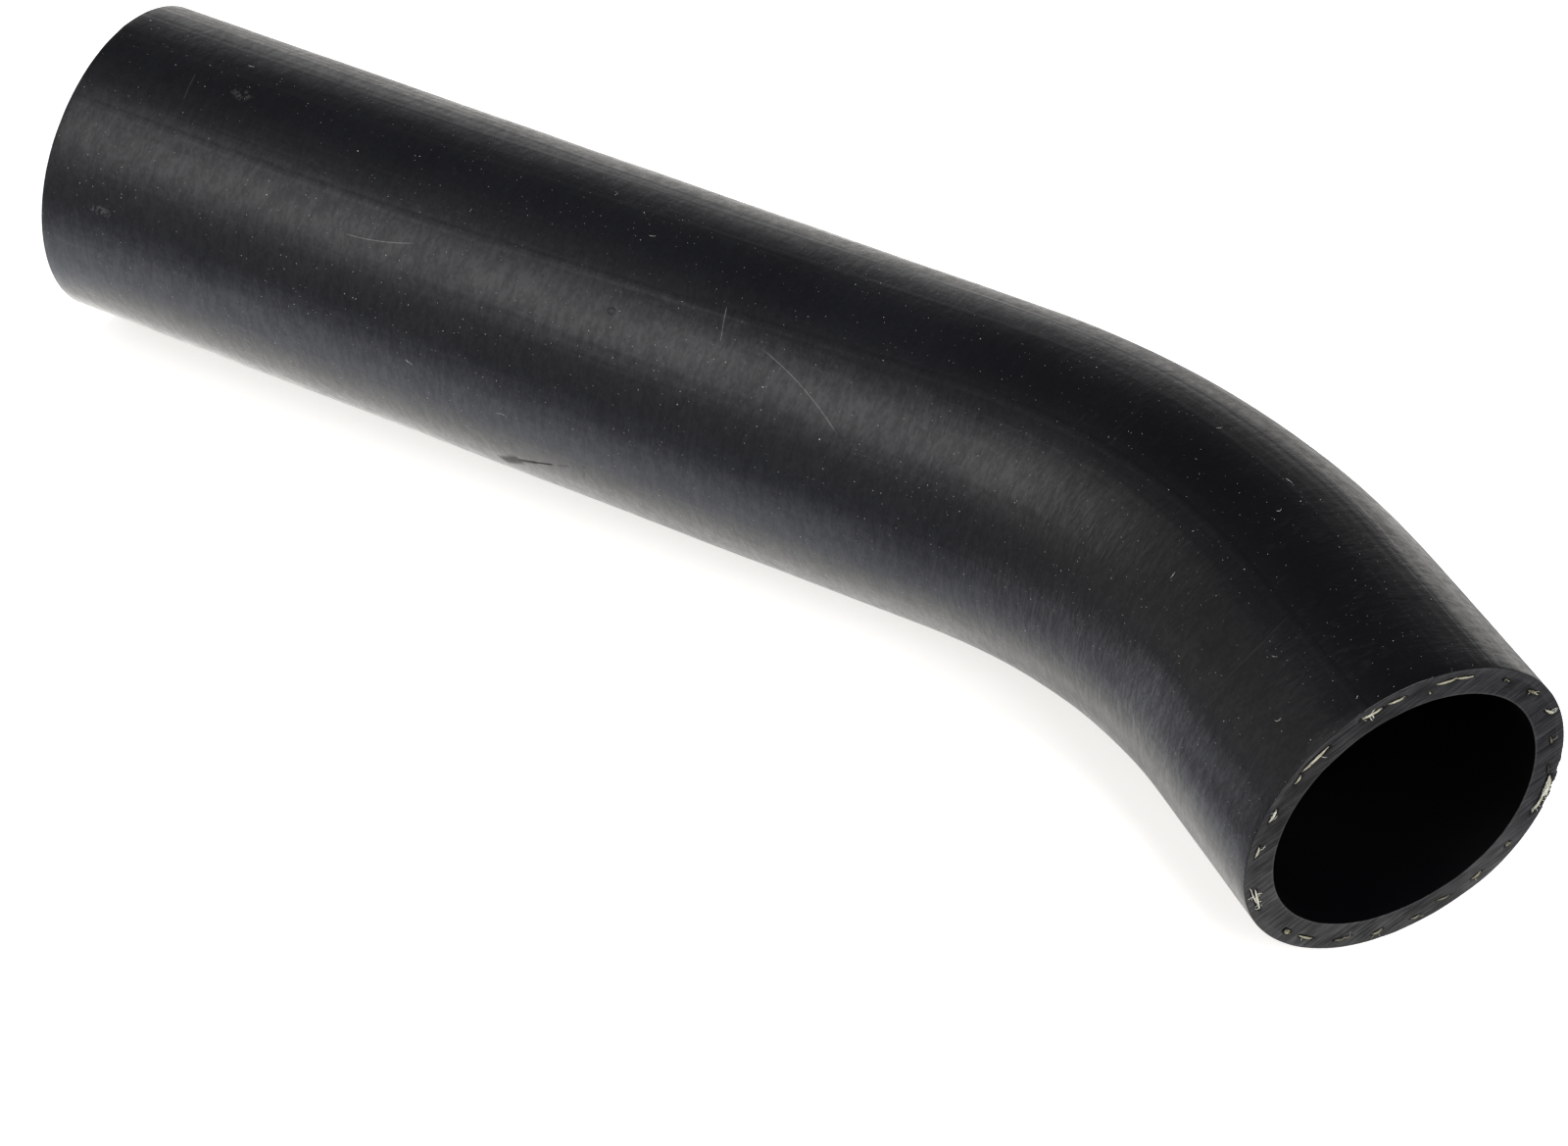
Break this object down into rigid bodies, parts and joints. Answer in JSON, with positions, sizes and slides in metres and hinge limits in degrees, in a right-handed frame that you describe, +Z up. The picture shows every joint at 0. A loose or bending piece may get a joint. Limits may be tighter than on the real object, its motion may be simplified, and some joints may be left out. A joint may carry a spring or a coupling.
{
  "type": "fuel filler hose",
  "caption": "Moulded black rubber hose with one bend and plain square-cut open ends, joining a fuel filler neck to the tank's pipe.",
  "frame": {"origin": "on the surface that the hose lies on, under the middle of its box", "axes": "+X along the long straight leg towards the bend, +Z up from the surface, with the bend level and turning towards -Y"},
  "size_m": [0.2702, 0.0868, 0.0545],
  "materials": {
    "hose_rubber": "satin black cover with faint moulding marks",
    "reinforcement_yarn": "cream braided yarn, seen only as cut ends in the wall"
  },
  "bodies": {
    "root": {"filler_hose": "hose_rubber"}
  },
  "joints": []
}
